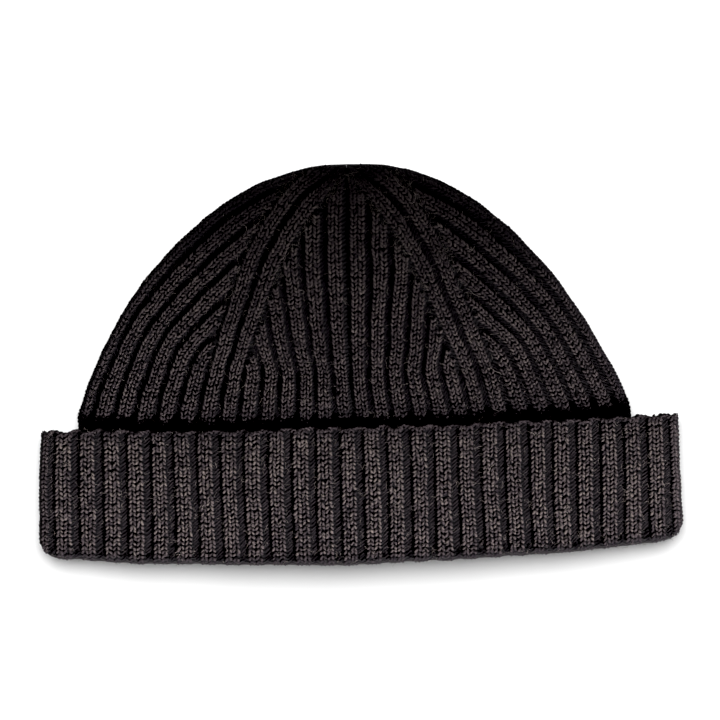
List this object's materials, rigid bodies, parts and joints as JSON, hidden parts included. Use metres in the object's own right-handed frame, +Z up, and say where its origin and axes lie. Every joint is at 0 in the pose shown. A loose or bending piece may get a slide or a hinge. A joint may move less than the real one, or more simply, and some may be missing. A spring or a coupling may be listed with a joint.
{
  "type": "knit hat",
  "caption": "Short ribbed wool hat with a turned-up cuff and a gored dome, hollow, lying flat on its back.",
  "frame": {"origin": "on the surface that the hat lies on, under the middle of its box", "axes": "+X along the cuff to the right of the front, +Y from the fold at the rim to the top of the crown, +Z up from the back to the front"},
  "size_m": [0.2396, 0.1506, 0.022],
  "materials": {
    "crown_wool": "charcoal-brown wool in two-by-two rib, matt, slightly hairy, near black in the gutters",
    "cuff_wool": "the same charcoal-brown wool rib, turned up, with a looped bound-off edge"
  },
  "bodies": {
    "root": {"crown": "crown_wool", "cuff": "cuff_wool"}
  },
  "joints": []
}
